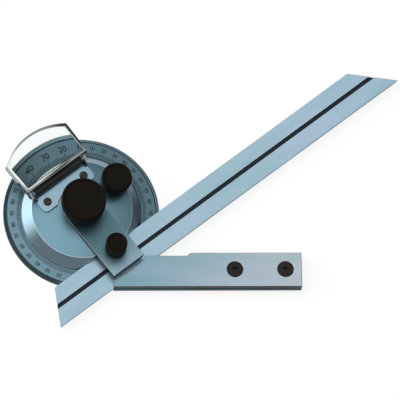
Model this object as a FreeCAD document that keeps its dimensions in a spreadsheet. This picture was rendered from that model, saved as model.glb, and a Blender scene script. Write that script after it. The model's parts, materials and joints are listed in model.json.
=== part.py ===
import FreeCAD, Part
import math
import os
import Sketcher
from FreeCAD import Placement, Rotation, Vector

# Bevel protractor with a graduated dial, a two-plate stock, a swivelling turret that carries
# a sliding blade, a pinion fine adjustment, two clamp knobs and a tilting magnifier.
# The origin is on the turret's axis, on the flat back of the dial. +Z points out of the dial
# and +X runs along the stock. Everything on the turret is drawn in the turret's own frame,
# with X along the blade and the blade on the -Y side, and is then turned by rest_angle.

SIZES = [
    ("rest_angle", 37.0, "angle between blade and stock as shown"),
    ("dial_thickness", 2.4, "back face to dial face"),
    ("rim_bevel_width", 0.9, "bevel round the dial, across"),
    ("rim_bevel_drop", 0.8, "bevel round the dial, down"),
    ("recess_clearance", 0.3, "turret's recess round the turret, and inside of the scale ring"),
    ("ring_width", 6.8, "scale ring, across"),
    ("ring_thickness", 0.8, "scale ring"),
    ("ring_gap", 0.12, "dark line round the scale ring"),
    ("dial_rim", 1.4, "dial outside the scale ring"),
    ("recess_depth", 1.2, "turret's recess below the dial face"),
    ("stock_left", 14.1, "left end of the stock from the axis"),
    ("stock_right", 101.6, "right end of the stock from the axis"),
    ("stock_below_dial", 0.9, "lower edge of the stock below the dial's edge"),
    ("stock_top", 20.65, "upper edge of the stock below the axis"),
    ("relief_drop", 1.4, "relieved part of the upper edge, further down"),
    ("relief_end", 48.4, "where the relieved part ends"),
    ("relief_ramp", 1.8, "length of its ramp"),
    ("tongue_overlap", 0.7, "rear plate's hollow end inside the dial's edge"),
    ("front_arc_gap", 0.3, "front plate's hollow left end outside the dial's edge"),
    ("front_thickness", 1.5, "front plate of the stock"),
    ("front_chamfer", 0.25, "front plate's edges"),
    ("spacer_end", 4.6, "spacer's left end from the first stock screw"),
    ("spacer_inset", 0.8, "spacer back from the stock's edges"),
    ("stock_screw_end", 7.5, "second stock screw from the stock's right end"),
    ("stock_screw_pitch", 23.5, "between the stock screws"),
    ("stock_screw_drop", 28.7, "stock screws below the axis"),
    ("stock_head_radius", 3.75, "countersunk head"),
    ("stock_shank_radius", 2.0, "M4 shank"),
    ("stock_head_relief", 0.25, "mouth of the countersink round the head"),
    ("stock_screw_stop", 0.4, "end of the screw above the back face"),
    ("stock_socket_radius", 1.25, "hexagon socket, across corners"),
    ("stock_socket_depth", 1.2, "hexagon socket"),
    ("blade_length", 200.0, "long edge of the blade"),
    ("blade_tail", 42.3, "long edge's tail end behind the axis"),
    ("blade_width", 16.7, "blade"),
    ("blade_thickness", 1.9, "blade"),
    ("blade_offset", 21.5, "blade's inner edge from the axis"),
    ("blade_tail_angle", 60.0, "tail end to the long edge"),
    ("blade_point_angle", 45.0, "pointed end to the long edge"),
    ("blade_clearance", 0.15, "under and over the blade"),
    ("groove_inset", 8.2, "middle of the groove from the blade's inner edge"),
    ("groove_width", 2.0, "groove"),
    ("groove_depth", 0.7, "groove"),
    ("hub_base_radius", 27.8, "turret cone at the dial face"),
    ("hub_cone_run", 4.3, "turret cone, base radius less top radius"),
    ("hub_height", 5.3, "turret above the dial face"),
    ("hub_wall", 1.5, "top wall of the turret"),
    ("gear_room", 0.55, "room round the gear's tips"),
    ("hub_running_gap", 0.05, "turret over the floor of its recess"),
    ("pinion_room", 0.35, "room round the pinion's tips"),
    ("pinion_headroom", 0.4, "room over the pinion"),
    ("vernier_width", 1.9, "vernier plate"),
    ("vernier_reach", 0.5, "vernier plate past the foot of the turret"),
    ("vernier_thickness", 0.5, "vernier plate"),
    ("vernier_lift", 0.1, "vernier plate over the dial face"),
    ("vernier_half_angle", 27.0, "vernier plate, each side"),
    ("flange_radius", 5.0, "spindle's rear flange"),
    ("flange_thickness", 0.6, "spindle's rear flange"),
    ("spindle_neck_radius", 3.0, "spindle through the dial"),
    ("journal_radius", 4.0, "spindle inside the turret"),
    ("journal_stop", 0.1, "journal below the arm's face"),
    ("thread_radius", 2.5, "M5 thread for the clamp knob"),
    ("thread_end_gap", 0.6, "thread's end below the insert's top"),
    ("running_clearance", 0.04, "radial, on every turning fit"),
    ("gear_module", 0.5, "tooth size"),
    ("gear_teeth", 71.0, "fixed gear"),
    ("pinion_teeth", 12.0, "pinion"),
    ("gear_thickness", 2.5, "fixed gear"),
    ("tooth_backlash", 0.12, "play between the teeth"),
    ("tooth_tip", 0.8, "tip height in modules"),
    ("tooth_root", 1.2, "root depth in modules"),
    ("pressure_angle", 20.0, "of the teeth"),
    ("pinion_lift", 0.3, "pinion over the recess floor"),
    ("pinion_thickness", 2.4, "pinion"),
    ("pinion_drop", 0.95, "pinion's axis off the turret's middle line"),
    ("pinion_shaft_radius", 1.5, "pinion shaft"),
    ("bush_radius", 2.2, "bush in the turret's top"),
    ("bush_flange_radius", 2.7, "bush flange"),
    ("bush_flange_thickness", 0.5, "bush flange"),
    ("bush_clearance", 0.1, "bush over the pinion"),
    ("arm_half_width", 8.85, "arm"),
    ("arm_end", 1.6, "arm's end past the clamp shoe"),
    ("arm_thickness", 2.2, "arm"),
    ("arm_chamfer", 0.2, "arm's upper edges"),
    ("arm_screw_land", 0.36, "between the arm screws' heads and the spindle's hole"),
    ("arm_screw_head_radius", 1.9, "M2 countersunk head"),
    ("arm_screw_radius", 1.0, "M2 shank"),
    ("washer_radius", 7.2, "clamp washer"),
    ("washer_thickness", 0.8, "clamp washer"),
    ("stack_gap", 0.05, "between pieces that press only when clamped"),
    ("clamp_head_radius", 10.4, "centre clamp knob"),
    ("clamp_head_height", 5.3, "its head"),
    ("clamp_neck_radius", 6.3, "its neck"),
    ("clamp_neck_height", 7.2, "its neck"),
    ("clamp_insert_radius", 4.2, "its threaded insert"),
    ("clamp_insert_height", 9.6, "its threaded insert"),
    ("clamp_flutes", 32.0, "grip flutes"),
    ("fine_head_radius", 7.05, "fine adjustment knob"),
    ("fine_head_height", 4.4, "its head"),
    ("fine_neck_radius", 3.4, "its neck"),
    ("fine_neck_height", 3.6, "its neck"),
    ("fine_flutes", 24.0, "grip flutes"),
    ("lock_inset", 3.4, "blade clamp's axis from the blade's inner edge"),
    ("lock_head_radius", 5.0, "blade clamp knob"),
    ("lock_head_height", 7.8, "its head"),
    ("lock_neck_radius", 3.4, "its neck"),
    ("lock_neck_height", 1.4, "its neck"),
    ("lock_clearance", 0.2, "blade clamp knob over the arm"),
    ("lock_screw_radius", 2.0, "M4 clamp screw"),
    ("knob_cover", 2.6, "knob left over the end of its screw or shaft"),
    ("lock_flutes", 18.0, "grip flutes"),
    ("flute_depth", 0.28, "grip flutes"),
    ("knob_bevel", 0.6, "knob rims"),
    ("knob_rim", 1.1, "raised rim round a knob's face"),
    ("knob_dish", 0.3, "sunk face of a knob"),
    ("shoe_half_length", 7.0, "clamp shoe along the blade"),
    ("shoe_gap", 0.9, "clamp shoe inside the blade's inner edge"),
    ("shoe_side", 3.7, "clamp shoe's far side from the middle of the groove"),
    ("shoe_socket_depth", 1.2, "seat of the clamp screw"),
    ("key_clearance", 0.1, "key in the groove"),
    ("bracket_thickness", 0.9, "magnifier bracket"),
    ("bracket_half_width", 15.0, "magnifier bracket"),
    ("bracket_back", 16.8, "bracket's straight edge from the axis"),
    ("bracket_lobe_end", 8.5, "lobes' ends from the axis"),
    ("bracket_corner", 2.5, "lobes' round corners"),
    ("bracket_arc_radius", 11.5, "hollow round the clamp knob"),
    ("bracket_screw_side", 10.65, "bracket screws from the middle"),
    ("bracket_screw_back", 12.5, "bracket screws from the axis"),
    ("bracket_screw_head", 1.95, "pan head radius"),
    ("bracket_screw_head_height", 0.8, "pan head"),
    ("bracket_screw_radius", 0.9, "shank"),
    ("bracket_screw_length", 2.2, "shank below the head"),
    ("cross_width", 0.5, "cross recess"),
    ("cross_length", 2.3, "cross recess"),
    ("cross_depth", 0.5, "cross recess"),
    ("ear_thickness", 1.1, "bracket's ears"),
    ("ear_radius", 1.9, "round ends of ears and legs"),
    ("ear_front", 14.6, "front of the ears from the axis"),
    ("hinge_back", 18.6, "hinge axis from the turret's"),
    ("hinge_lift", 2.8, "hinge axis above the bracket's face"),
    ("pin_radius", 1.0, "hinge pin"),
    ("pin_end", 0.55, "hinge pin past the legs"),
    ("sleeve_radius", 1.7, "sleeve on the pin"),
    ("leg_gap", 0.15, "beside ears and legs"),
    ("leg_thickness", 1.2, "legs of the magnifier frame"),
    ("frame_lift", 0.1, "frame over the ears"),
    ("frame_height", 4.2, "frame"),
    ("frame_wall", 1.5, "frame"),
    ("frame_bevel", 0.45, "frame's upper edges"),
    ("frame_back", 0.8, "frame's near side from the hinge axis"),
    ("frame_side", 1.15, "frame's near corners past the legs"),
    ("frame_depth", 16.2, "near side to the shoulders"),
    ("frame_flare", 0.4, "shoulders past the near corners"),
    ("frame_arc_radius", 30.0, "frame's round side"),
    ("lens_curve_radius", 55.0, "both faces of the lens"),
    ("lens_thickness", 7.6, "lens, middle"),
    ("lens_depth", 11.0, "lens's middle from the frame's near side"),
]


class Formula:
    """A size with its number and the sheet expression that gives it."""

    def __init__(self, number, text):
        self.number = number
        self.text = text

    def __add__(self, other):
        other = formula(other)
        return Formula(self.number + other.number, "(%s + %s)" % (self.text, other.text))

    def __sub__(self, other):
        other = formula(other)
        return Formula(self.number - other.number, "(%s - %s)" % (self.text, other.text))

    def __mul__(self, other):
        other = formula(other)
        return Formula(self.number * other.number, "(%s * %s)" % (self.text, other.text))

    def __truediv__(self, other):
        other = formula(other)
        return Formula(self.number / other.number, "(%s / %s)" % (self.text, other.text))

    def __neg__(self):
        return Formula(-self.number, "(0 - %s)" % self.text)


def formula(item):
    if isinstance(item, Formula):
        return item
    return Formula(float(item), "%.6f" % item)


def root(item):
    return Formula(math.sqrt(item.number), "sqrt(%s)" % item.text)


def sine(item):
    return Formula(math.sin(math.radians(item.number)), "sin(%s)" % item.text)


def cosine(item):
    return Formula(math.cos(math.radians(item.number)), "cos(%s)" % item.text)


def on_circle(radius, side):
    """The other coordinate of a point on a circle about the axis."""
    return root(radius * radius - side * side)


class Sizes:
    """The driving dimensions, each readable as size.alias."""

    def __init__(self, document):
        self.sheet = document.addObject("Spreadsheet::Sheet", "Sizes")
        for row, (alias, number, note) in enumerate(SIZES, start=1):
            self.sheet.set("A%d" % row, note)
            self.sheet.set("B%d" % row, str(number))
            self.sheet.setAlias("B%d" % row, alias)
            setattr(self, alias, Formula(number, "Sizes." + alias))


doc = FreeCAD.newDocument("BevelProtractor")
size = Sizes(doc)
doc.recompute()
parts = []

# Radii about the turret's axis, levels above the back face and places that several pieces share
ring_inner = size.hub_base_radius + size.recess_clearance
ring_outer = ring_inner + size.ring_width
dial_radius = ring_outer + size.dial_rim
stock_bottom = dial_radius + size.stock_below_dial
ring_floor = size.dial_thickness - size.ring_thickness
recess_floor = size.dial_thickness - size.recess_depth
blade_bottom = size.dial_thickness + size.blade_clearance
blade_top = blade_bottom + size.blade_thickness
front_bottom = blade_top + size.blade_clearance
front_top = front_bottom + size.front_thickness
hub_top = size.dial_thickness + size.hub_height
arm_top = hub_top + size.arm_thickness
washer_bottom = arm_top + size.stack_gap
clamp_bottom = washer_bottom + size.washer_thickness + size.stack_gap
clamp_top = clamp_bottom + size.clamp_neck_height + size.clamp_head_height
bush_top = hub_top + size.bush_flange_thickness
fine_bottom = bush_top + size.bush_clearance
fine_top = fine_bottom + size.fine_neck_height + size.fine_head_height
lock_bottom = arm_top + size.lock_clearance
lock_top = lock_bottom + size.lock_neck_height + size.lock_head_height
thread_top = clamp_bottom + size.clamp_insert_height - size.thread_end_gap
arm_screw_offset = (size.journal_radius + size.running_clearance
                    + size.arm_screw_head_radius + size.arm_screw_land)
groove_middle = size.blade_offset + size.groove_inset
lock_offset = size.blade_offset + size.lock_inset
shoe_near = size.blade_offset + size.shoe_gap
shoe_far = groove_middle + size.shoe_side
arm_reach = shoe_far + size.arm_end
bracket_top = hub_top + size.bracket_thickness
gear_distance = (size.gear_teeth + size.pinion_teeth) * size.gear_module / 2
pinion_across = root(gear_distance * gear_distance - size.pinion_drop * size.pinion_drop)
gear_tip = (size.gear_teeth / 2 + size.tooth_tip) * size.gear_module
pinion_tip = (size.pinion_teeth / 2 + size.tooth_tip) * size.gear_module
pinion_bottom = recess_floor + size.pinion_lift
pinion_top = pinion_bottom + size.pinion_thickness
hinge_height = bracket_top + size.hinge_lift
leg_outside = size.bracket_half_width + size.leg_gap + size.leg_thickness
frame_bottom = hinge_height + size.ear_radius + size.frame_lift
frame_top = frame_bottom + size.frame_height
frame_near = size.hinge_back + size.frame_back
last_screw = size.stock_right - size.stock_screw_end
stock_screws = [last_screw - size.stock_screw_pitch, last_screw]


def bind(thing, name, item):
    """Set a property from the sheet."""
    thing.setExpression(name, formula(item).text)


def keep(thing, label):
    thing.Label = label
    parts.append(thing)
    return thing


def turn(thing, x=0.0, y=0.0, z=0.0):
    """Seat a piece at a place given in the turret's frame, turned with the turret."""
    x, y, z = formula(x), formula(y), formula(z)
    thing.Placement = Placement(Vector(), Rotation(Vector(0, 0, 1), size.rest_angle.number))
    bind(thing, "Placement.Rotation.Angle", size.rest_angle)
    bind(thing, "Placement.Base.x", x * cosine(size.rest_angle) - y * sine(size.rest_angle))
    bind(thing, "Placement.Base.y", x * sine(size.rest_angle) + y * cosine(size.rest_angle))
    bind(thing, "Placement.Base.z", z)


def new_body(name):
    return doc.addObject("PartDesign::Body", name)


def new_sketch(body, name, role="XY_Plane", x=0.0, y=0.0, lift=0.0):
    """A sketch on a plane of its own body, shifted in the plane and lifted off it."""
    sketch = body.newObject("Sketcher::SketchObject", name)
    plane = next(item for item in body.Origin.OriginFeatures if item.Role == role)
    sketch.AttachmentSupport = [(plane, "")]
    sketch.MapMode = "FlatFace"
    for axis, item in (("x", x), ("y", y), ("z", lift)):
        bind(sketch, "AttachmentOffset.Base." + axis, item)
    return sketch


def fix_point(sketch, item, end, x, y):
    """Hold a point at sheet coordinates. A sketch calls its own X axis -1 and its Y axis -2."""
    for kind, place, axis in (("DistanceX", x, -2), ("DistanceY", y, -1)):
        if place.number == 0:
            sketch.addConstraint(Sketcher.Constraint("PointOnObject", item, end, axis))
        else:
            rule = Sketcher.Constraint(kind, -1, 1, item, end, place.number)
            index = sketch.addConstraint(rule)
            bind(sketch, "Constraints[%d]" % index, place)


def arc_between(start, end, radius, side):
    """The shorter arc, with its middle to the left (1) or the right (-1) of the way."""
    way = end - start
    left = Vector(-way.y, way.x, 0).normalize()
    away = math.sqrt(radius ** 2 - (way.Length / 2) ** 2)
    centre = (start + end) / 2 + left * away * side
    first, last = (start, end) if side > 0 else (end, start)
    angles = [math.atan2(p.y - centre.y, p.x - centre.x) for p in (first, last)]
    return Part.ArcOfCircle(Part.Circle(centre, Vector(0, 0, 1), radius), *angles)


def outline(sketch, corners):
    """A closed outline. A corner is (x, y), or (x, y, radius, side) where an arc leaves it."""
    corners = [tuple(formula(item) for item in corner[:3]) + tuple(corner[3:])
               for corner in corners]
    ends = []
    for here, ahead in zip(corners, corners[1:] + corners[:1]):
        start = Vector(here[0].number, here[1].number, 0)
        end = Vector(ahead[0].number, ahead[1].number, 0)
        if len(here) == 2:
            item = sketch.addGeometry(Part.LineSegment(start, end))
            ends.append((item, 1, 2))
            continue
        radius, side = here[2], here[3]
        item = sketch.addGeometry(arc_between(start, end, radius.number, side))
        ends.append((item, 1, 2) if side > 0 else (item, 2, 1))
        index = sketch.addConstraint(Sketcher.Constraint("Radius", item, radius.number))
        bind(sketch, "Constraints[%d]" % index, radius)
    for corner, behind, ahead in zip(corners, ends[-1:] + ends[:-1], ends):
        sketch.addConstraint(Sketcher.Constraint("Coincident", behind[0], behind[2],
                                                 ahead[0], ahead[1]))
        fix_point(sketch, ahead[0], ahead[1], corner[0], corner[1])


def circle(sketch, x, y, radius):
    x, y, radius = formula(x), formula(y), formula(radius)
    shape = Part.Circle(Vector(x.number, y.number, 0), Vector(0, 0, 1), radius.number)
    item = sketch.addGeometry(shape)
    index = sketch.addConstraint(Sketcher.Constraint("Radius", item, radius.number))
    bind(sketch, "Constraints[%d]" % index, radius)
    fix_point(sketch, item, 3, x, y)


def pad(body, sketch, length):
    feature = body.newObject("PartDesign::Pad", sketch.Name + "Pad")
    feature.Profile = sketch
    bind(feature, "Length", length)
    sketch.Visibility = False
    return feature


def pocket(body, sketch, depth):
    """Cut from the sketch's plane towards its positive normal."""
    feature = body.newObject("PartDesign::Pocket", sketch.Name + "Pocket")
    feature.Profile = sketch
    feature.Reversed = True
    bind(feature, "Length", depth)
    return feature


def turned(body, sketch, kind="Revolution"):
    """Revolve a sketch about its own vertical axis, adding or with Groove cutting."""
    feature = body.newObject("PartDesign::" + kind, sketch.Name + kind)
    feature.Profile = sketch
    feature.ReferenceAxis = (sketch, ["V_Axis"])
    feature.Angle = 360.0
    return feature


def turned_body(name, corners):
    """A body turned from a half section of (radius, height) corners."""
    body = new_body(name)
    sketch = new_sketch(body, name + "Section", "XZ_Plane")
    outline(sketch, corners)
    turned(body, sketch)
    return body


def turned_cut(body, name, x, y, corners):
    """Cut a turned hole, given by its half section, at a place on the face."""
    sketch = new_sketch(body, name, "XZ_Plane", x=x, lift=-formula(y))
    outline(sketch, corners)
    turned(body, sketch, "Groove")


def bevel_top(body, level, width):
    """Bevel the straight and round edges that lie at one height."""
    doc.recompute()
    solid = body.Tip
    names = []
    for index, edge in enumerate(solid.Shape.Edges, start=1):
        box = edge.BoundBox
        if abs(box.ZMin - level.number) < 1e-6 and abs(box.ZMax - level.number) < 1e-6:
            names.append("Edge%d" % index)
    feature = body.newObject("PartDesign::Chamfer", body.Name + "Bevel")
    feature.Base = (solid, names)
    bind(feature, "Size", width)
    body.Tip = feature


def rod(name, radius, low, high, x=0.0, y=0.0):
    """A plain upright cylinder between two heights."""
    cylinder = doc.addObject("Part::Cylinder", name)
    bind(cylinder, "Radius", radius)
    bind(cylinder, "Height", formula(high) - low)
    bind(cylinder, "Placement.Base.x", x)
    bind(cylinder, "Placement.Base.y", y)
    bind(cylinder, "Placement.Base.z", low)
    return cylinder


def stock_corners(arc_radius):
    """The stock's outline, with a hollow left end round the turret's axis."""
    relief = -(size.stock_top + size.relief_drop)
    low = -on_circle(arc_radius, size.stock_left)
    high_x = on_circle(arc_radius, relief)
    return [(size.stock_left, -stock_bottom),
            (size.stock_right, -stock_bottom),
            (size.stock_right, -size.stock_top),
            (size.relief_end + size.relief_ramp, -size.stock_top),
            (size.relief_end, relief),
            (high_x, relief, arc_radius, -1),
            (size.stock_left, low)]


def make_dial_body():
    """Disc with a bevelled rim, a seat for the scale ring and a recess for the turret."""
    seat = ring_outer + size.ring_gap
    body = turned_body("dial_body", [
        (size.spindle_neck_radius, size.flange_thickness),
        (size.flange_radius, size.flange_thickness),
        (size.flange_radius, 0),
        (dial_radius, 0),
        (dial_radius, size.dial_thickness - size.rim_bevel_drop),
        (dial_radius - size.rim_bevel_width, size.dial_thickness),
        (seat, size.dial_thickness),
        (seat, ring_floor),
        (ring_inner, ring_floor),
        (ring_inner, recess_floor),
        (size.spindle_neck_radius, recess_floor)])
    tongue = new_sketch(body, "RearPlate")
    outline(tongue, stock_corners(dial_radius - size.tongue_overlap))
    pad(body, tongue, size.dial_thickness)
    holes = new_sketch(body, "RearHoles", lift=size.stock_screw_stop)
    for place in stock_screws:
        circle(holes, place, -size.stock_screw_drop, size.stock_shank_radius)
    pocket(body, holes, size.dial_thickness)
    keep(body, "dial_body")


def make_scale_ring():
    """Graduated ring let into the dial."""
    body = turned_body("scale_ring", [
        (ring_inner, ring_floor),
        (ring_outer, ring_floor),
        (ring_outer, size.dial_thickness),
        (ring_inner, size.dial_thickness)])
    keep(body, "scale_ring")


def make_stock_spacer():
    """Bar between the stock's plates; the blade swings in the slot to its left."""
    body = new_body("stock_spacer")
    sketch = new_sketch(body, "SpacerOutline", lift=size.dial_thickness)
    left = stock_screws[0] - size.spacer_end
    right = size.stock_right - size.spacer_inset
    bottom = -(stock_bottom - size.spacer_inset)
    top = -(size.stock_top + size.spacer_inset)
    outline(sketch, [(left, bottom), (right, bottom), (right, top), (left, top)])
    pad(body, sketch, front_bottom - size.dial_thickness)
    cone_end = front_top - (size.stock_head_radius - size.stock_shank_radius)
    for number, place in enumerate(stock_screws, start=1):
        turned_cut(body, "SpacerHole%d" % number, place, -size.stock_screw_drop, [
            (0, 0),
            (size.stock_shank_radius, 0),
            (size.stock_shank_radius, cone_end),
            (size.stock_head_radius, front_top),
            (0, front_top)])
    keep(body, "stock_spacer")


def make_stock_front():
    """Front plate of the stock with its relieved edge and two countersinks."""
    body = new_body("stock_front")
    sketch = new_sketch(body, "FrontOutline", lift=front_bottom)
    outline(sketch, stock_corners(dial_radius + size.front_arc_gap))
    pad(body, sketch, size.front_thickness)
    bevel_top(body, front_top, size.front_chamfer)
    cone_end = front_top - (size.stock_head_radius - size.stock_shank_radius)
    mouth = size.stock_head_radius + size.stock_head_relief
    for number, place in enumerate(stock_screws, start=1):
        turned_cut(body, "FrontHole%d" % number, place, -size.stock_screw_drop, [
            (0, size.dial_thickness),
            (size.stock_shank_radius, size.dial_thickness),
            (size.stock_shank_radius, cone_end),
            (size.stock_head_radius - size.stock_head_relief,
             front_top - size.stock_head_relief),
            (mouth, front_top),
            (0, front_top)])
    keep(body, "stock_front")


def make_stock_screw(number, place):
    """Countersunk socket screw, flush with the front plate."""
    name = "stock_screw_%d" % number
    head_height = size.stock_head_radius - size.stock_shank_radius
    body = turned_body(name, [
        (0, size.stock_screw_stop),
        (size.stock_shank_radius, size.stock_screw_stop),
        (size.stock_shank_radius, front_top - head_height),
        (size.stock_head_radius, front_top),
        (0, front_top)])
    socket = new_sketch(body, "Socket%d" % number, lift=front_top - size.stock_socket_depth)
    across, half = size.stock_socket_radius, size.stock_socket_radius / 2
    flat = root(across * across - half * half)
    outline(socket, [(across, 0), (half, flat), (-half, flat),
                     (-across, 0), (-half, -flat), (half, -flat)])
    pocket(body, socket, size.stock_socket_depth)
    bind(body, "Placement.Base.x", place)
    bind(body, "Placement.Base.y", -size.stock_screw_drop)
    keep(body, name)


def make_spindle():
    """Centre stud: rear flange, neck in the dial, journal for the turret and a thread."""
    journal_top = arm_top - size.journal_stop
    body = turned_body("spindle", [
        (0, 0),
        (size.flange_radius, 0),
        (size.flange_radius, size.flange_thickness),
        (size.spindle_neck_radius, size.flange_thickness),
        (size.spindle_neck_radius, recess_floor),
        (size.journal_radius, recess_floor),
        (size.journal_radius, journal_top),
        (size.thread_radius, journal_top),
        (size.thread_radius, thread_top),
        (0, thread_top)])
    keep(body, "spindle")


def tooth_half_angle(radius, pitch_radius, teeth, backlash):
    """Half the tooth's angle at a radius of an involute tooth."""
    pressure = math.radians(size.pressure_angle.number)
    base = pitch_radius * math.cos(pressure)
    roll = math.acos(base / max(radius, base))
    involute = (math.tan(roll) - roll) - (math.tan(pressure) - pressure)
    return math.pi / (2 * teeth) - backlash / (4 * pitch_radius) - involute


def gear_face(teeth, phase):
    """A gear's outline as a face, with a tooth at the phase angle. Its flanks are straight from
    root to tip, with corners on the base and pitch circles where few teeth curve them."""
    module = size.gear_module.number
    pitch_radius = teeth * module / 2
    base = pitch_radius * math.cos(math.radians(size.pressure_angle.number))
    low = pitch_radius - size.tooth_root.number * module
    high = pitch_radius + size.tooth_tip.number * module
    radii = [low] + ([base, pitch_radius] if base > low else []) + [high]
    points = []
    for tooth in range(teeth):
        middle = phase + 2 * math.pi * tooth / teeth
        half = [tooth_half_angle(radius, pitch_radius, teeth, size.tooth_backlash.number)
                for radius in radii]
        flank = [(radius, -angle) for radius, angle in zip(radii, half)]
        back = [(radius, angle) for radius, angle in zip(radii[::-1], half[::-1])]
        for radius, angle in flank + back:
            points.append(Vector(radius * math.cos(middle + angle),
                                 radius * math.sin(middle + angle), 0))
    return Part.Face(Part.makePolygon(points + points[:1]))


def pinion_angle():
    """Direction of the pinion from the axis, in the part's frame, in radians."""
    drop = math.asin(size.pinion_drop.number / gear_distance.number)
    return math.radians(size.rest_angle.number) + drop


def make_fixed_gear():
    """Gear pressed on the spindle's journal, with a tooth towards the pinion."""
    face = gear_face(int(size.gear_teeth.number), pinion_angle())
    gear = face.extrude(Vector(0, 0, size.gear_thickness.number))
    hole = Part.makeCylinder(size.journal_radius.number, size.gear_thickness.number)
    feature = doc.addObject("Part::Feature", "fixed_gear")
    feature.Shape = gear.cut(hole)
    feature.Placement = Placement(Vector(0, 0, recess_floor.number), Rotation())
    keep(feature, "fixed_gear")


def make_hub():
    """Turret: a low cone, hollow for the gear, cut straight where the blade lies."""
    floor = recess_floor + size.hub_running_gap
    ceiling = hub_top - size.hub_wall
    bore = size.journal_radius + size.running_clearance
    cavity = gear_tip + size.gear_room
    body = turned_body("turret_hub", [
        (cavity, floor),
        (size.hub_base_radius, floor),
        (size.hub_base_radius, size.dial_thickness),
        (size.hub_base_radius - size.hub_cone_run, hub_top),
        (bore, hub_top),
        (bore, ceiling),
        (cavity, ceiling)])
    blade_side = new_sketch(body, "BladeSeat", lift=blade_bottom)
    far = size.hub_base_radius + size.blade_clearance
    near = -(size.blade_offset - size.running_clearance)
    outline(blade_side, [(-far, -far), (far, -far), (far, near), (-far, near)])
    pocket(body, blade_side, size.hub_height)
    room = new_sketch(body, "PinionRoom", lift=recess_floor)
    circle(room, pinion_across, size.pinion_drop, pinion_tip + size.pinion_room)
    pocket(body, room, pinion_top - recess_floor + size.pinion_headroom)
    bush = new_sketch(body, "BushHole", lift=recess_floor)
    circle(bush, pinion_across, size.pinion_drop, size.bush_radius)
    pocket(body, bush, hub_top)
    threads = new_sketch(body, "ScrewHoles", lift=ceiling)
    for side in (-1, 1):
        circle(threads, arm_screw_offset * side, 0, size.arm_screw_radius)
        circle(threads, size.bracket_screw_side * side, size.bracket_screw_back,
               size.bracket_screw_radius)
    pocket(body, threads, size.hub_wall)
    seat = new_sketch(body, "VernierSeat", lift=size.dial_thickness + size.vernier_lift)
    outline(seat, vernier_corners())
    pocket(body, seat, size.vernier_thickness)
    turn(body)
    keep(body, "turret_hub")


def vernier_corners():
    """Ring sector opposite the blade, under the magnifier."""
    outer = size.hub_base_radius + size.vernier_reach
    inner = outer - size.vernier_width
    across, along = sine(size.vernier_half_angle), cosine(size.vernier_half_angle)
    return [(inner * across, inner * along),
            (outer * across, outer * along, outer, 1),
            (-outer * across, outer * along),
            (-inner * across, inner * along, inner, -1)]


def make_vernier():
    """Thin vernier plate, let into the turret and reaching over the scale."""
    body = new_body("vernier_plate")
    sketch = new_sketch(body, "VernierOutline", lift=size.dial_thickness + size.vernier_lift)
    outline(sketch, vernier_corners())
    pad(body, sketch, size.vernier_thickness)
    turn(body)
    keep(body, "vernier_plate")


def make_arm():
    """Flat arm from the spindle out over the blade, round at the spindle's end."""
    body = new_body("blade_arm")
    sketch = new_sketch(body, "ArmOutline", lift=hub_top)
    half = size.arm_half_width
    outline(sketch, [(-half, -arm_reach), (half, -arm_reach),
                     (half, 0, half, 1), (0, half, half, 1), (-half, 0)])
    pad(body, sketch, size.arm_thickness)
    bevel_top(body, arm_top, size.arm_chamfer)
    holes = new_sketch(body, "ArmHoles", lift=hub_top)
    circle(holes, 0, 0, size.journal_radius + size.running_clearance)
    circle(holes, 0, -lock_offset, size.lock_screw_radius + size.running_clearance)
    pocket(body, holes, size.arm_thickness)
    cone = size.arm_screw_head_radius - size.arm_screw_radius
    for number, side in enumerate((-1, 1), start=1):
        turned_cut(body, "ArmSink%d" % number, arm_screw_offset * side, 0, [
            (0, hub_top),
            (size.arm_screw_radius, hub_top),
            (size.arm_screw_radius, arm_top - cone),
            (size.arm_screw_head_radius, arm_top),
            (0, arm_top)])
    turn(body)
    keep(body, "blade_arm")


def make_arm_screw(number, side):
    """Small countersunk screw from the arm into the turret's top wall."""
    name = "arm_screw_%d" % number
    cone = size.arm_screw_head_radius - size.arm_screw_radius
    body = turned_body(name, [
        (0, hub_top - size.hub_wall),
        (size.arm_screw_radius, hub_top - size.hub_wall),
        (size.arm_screw_radius, arm_top - cone),
        (size.arm_screw_head_radius, arm_top),
        (0, arm_top)])
    slot = new_sketch(body, "ArmSlot%d" % number, lift=arm_top - size.cross_depth)
    half_slot = size.cross_width / 2
    reach = size.arm_screw_head_radius
    outline(slot, [(-reach, -half_slot), (reach, -half_slot),
                   (reach, half_slot), (-reach, half_slot)])
    pocket(body, slot, size.cross_depth)
    turn(body, arm_screw_offset * side)
    keep(body, name)


def make_washer():
    """Washer between the arm and the clamp knob."""
    body = turned_body("clamp_washer", [
        (size.thread_radius + size.running_clearance, washer_bottom),
        (size.washer_radius, washer_bottom),
        (size.washer_radius, washer_bottom + size.washer_thickness),
        (size.thread_radius + size.running_clearance, washer_bottom + size.washer_thickness)])
    turn(body)
    keep(body, "clamp_washer")


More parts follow.
